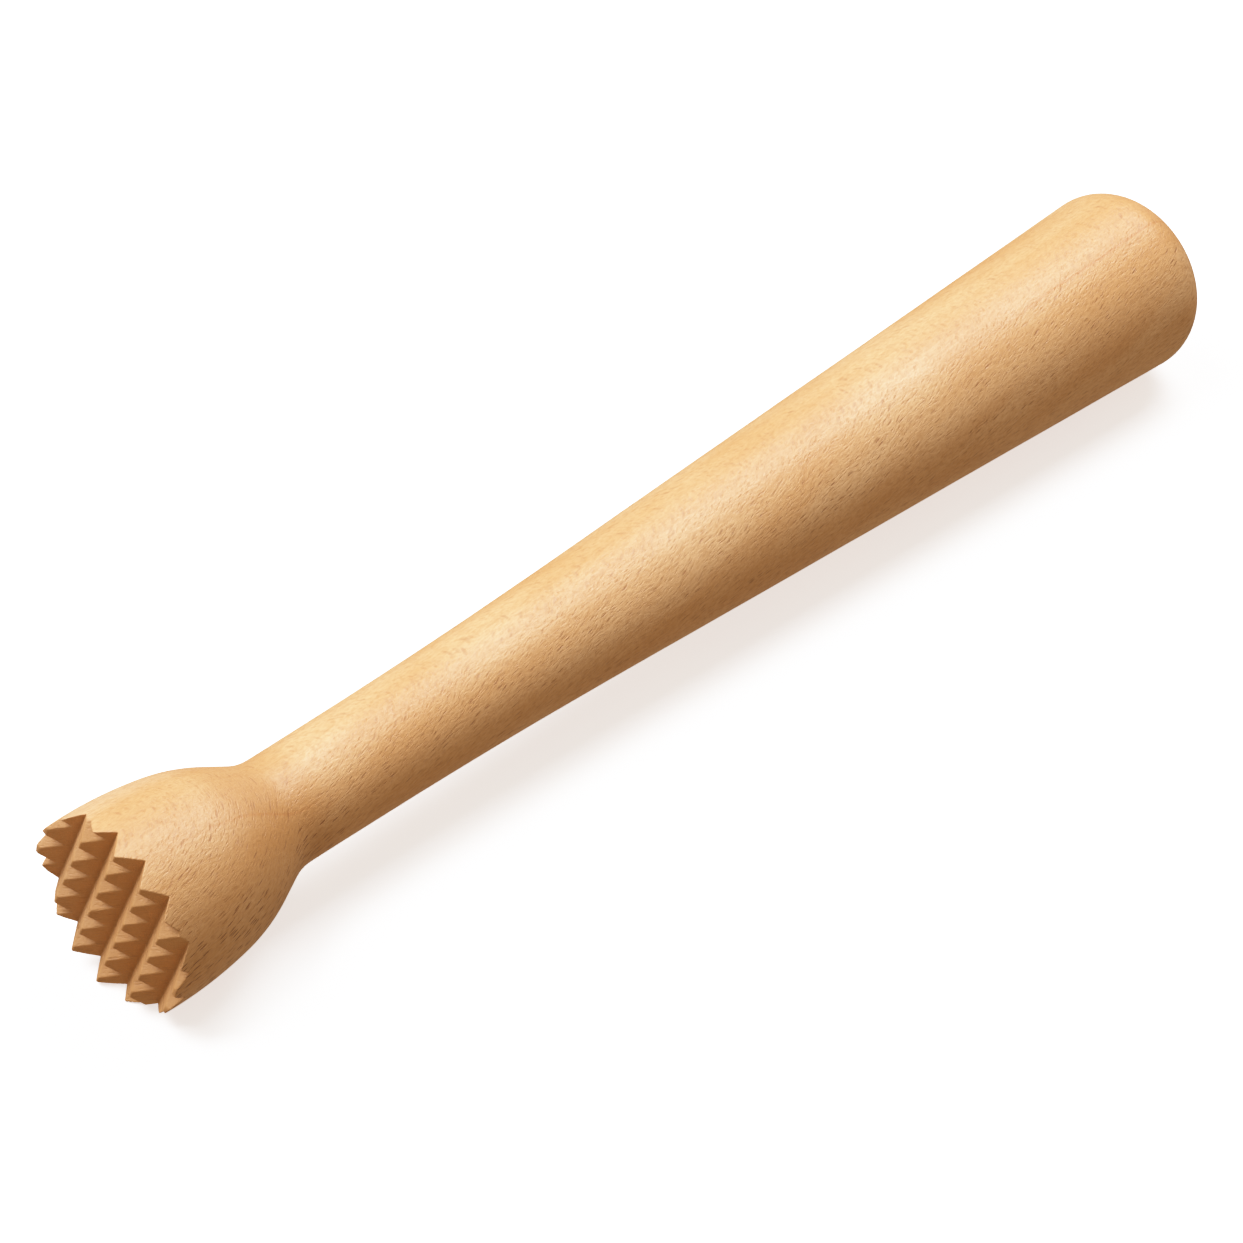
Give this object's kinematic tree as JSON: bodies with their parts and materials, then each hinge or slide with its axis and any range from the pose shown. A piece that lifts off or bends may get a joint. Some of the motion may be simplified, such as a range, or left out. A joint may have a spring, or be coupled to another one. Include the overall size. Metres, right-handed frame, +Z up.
{
  "type": "meat mallet",
  "caption": "Stick-form turned beech mallet: a barrel head with a face of pointed teeth, a slim neck and a handle that flares to a rounded butt.",
  "frame": {"origin": "on the worktop, below the middle of the mallet as it lies on its side", "axes": "+X along the mallet from the toothed face to the butt, +Z up from the worktop"},
  "size_m": [0.286, 0.04, 0.04],
  "materials": {
    "head_beech": "fine-sanded bare beech, satin",
    "handle_beech": "fine-sanded bare beech, satin"
  },
  "bodies": {
    "root": {"head": "head_beech", "handle": "handle_beech"}
  },
  "joints": []
}
